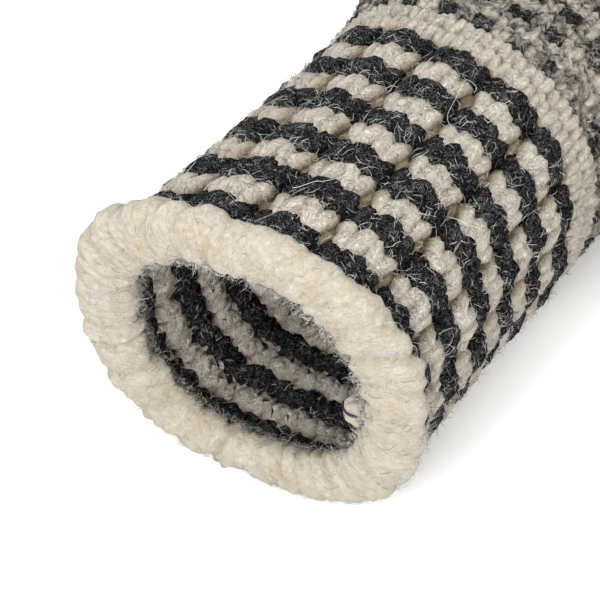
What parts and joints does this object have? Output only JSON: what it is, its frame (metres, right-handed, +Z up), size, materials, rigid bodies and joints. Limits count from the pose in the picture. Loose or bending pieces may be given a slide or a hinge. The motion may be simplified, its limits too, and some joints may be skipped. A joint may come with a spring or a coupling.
{
  "type": "pair of mittens",
  "caption": "Pair of chunky hand-knitted wool mittens with rolled rims and striped, ribbed cuffs, filled out and lying side by side with open mouths.",
  "frame": {"origin": "middle of the underside of the pair", "axes": "+Y from the open mouths towards the fingertips, +X from the left mitten to the right one, +Z up"},
  "size_m": [0.341, 0.2696, 0.0828],
  "materials": {
    "cream_wool": "undyed cream wool, thick soft yarn with a long halo of fibres",
    "striped_wool": "single rounds of charcoal heather and cream wool in turn, ribbed",
    "flecked_wool": "cream wool flecked with charcoal, slightly felted",
    "dark_thread": "thin dark thread"
  },
  "bodies": {
    "root": {"left_rim": "cream_wool", "left_cuff": "striped_wool", "left_hand": "flecked_wool", "left_thumb": "flecked_wool", "left_yarn_knot": "cream_wool", "left_knot_thread": "dark_thread", "right_rim": "cream_wool", "right_cuff": "striped_wool", "right_hand": "flecked_wool", "right_thumb": "flecked_wool"}
  },
  "joints": []
}
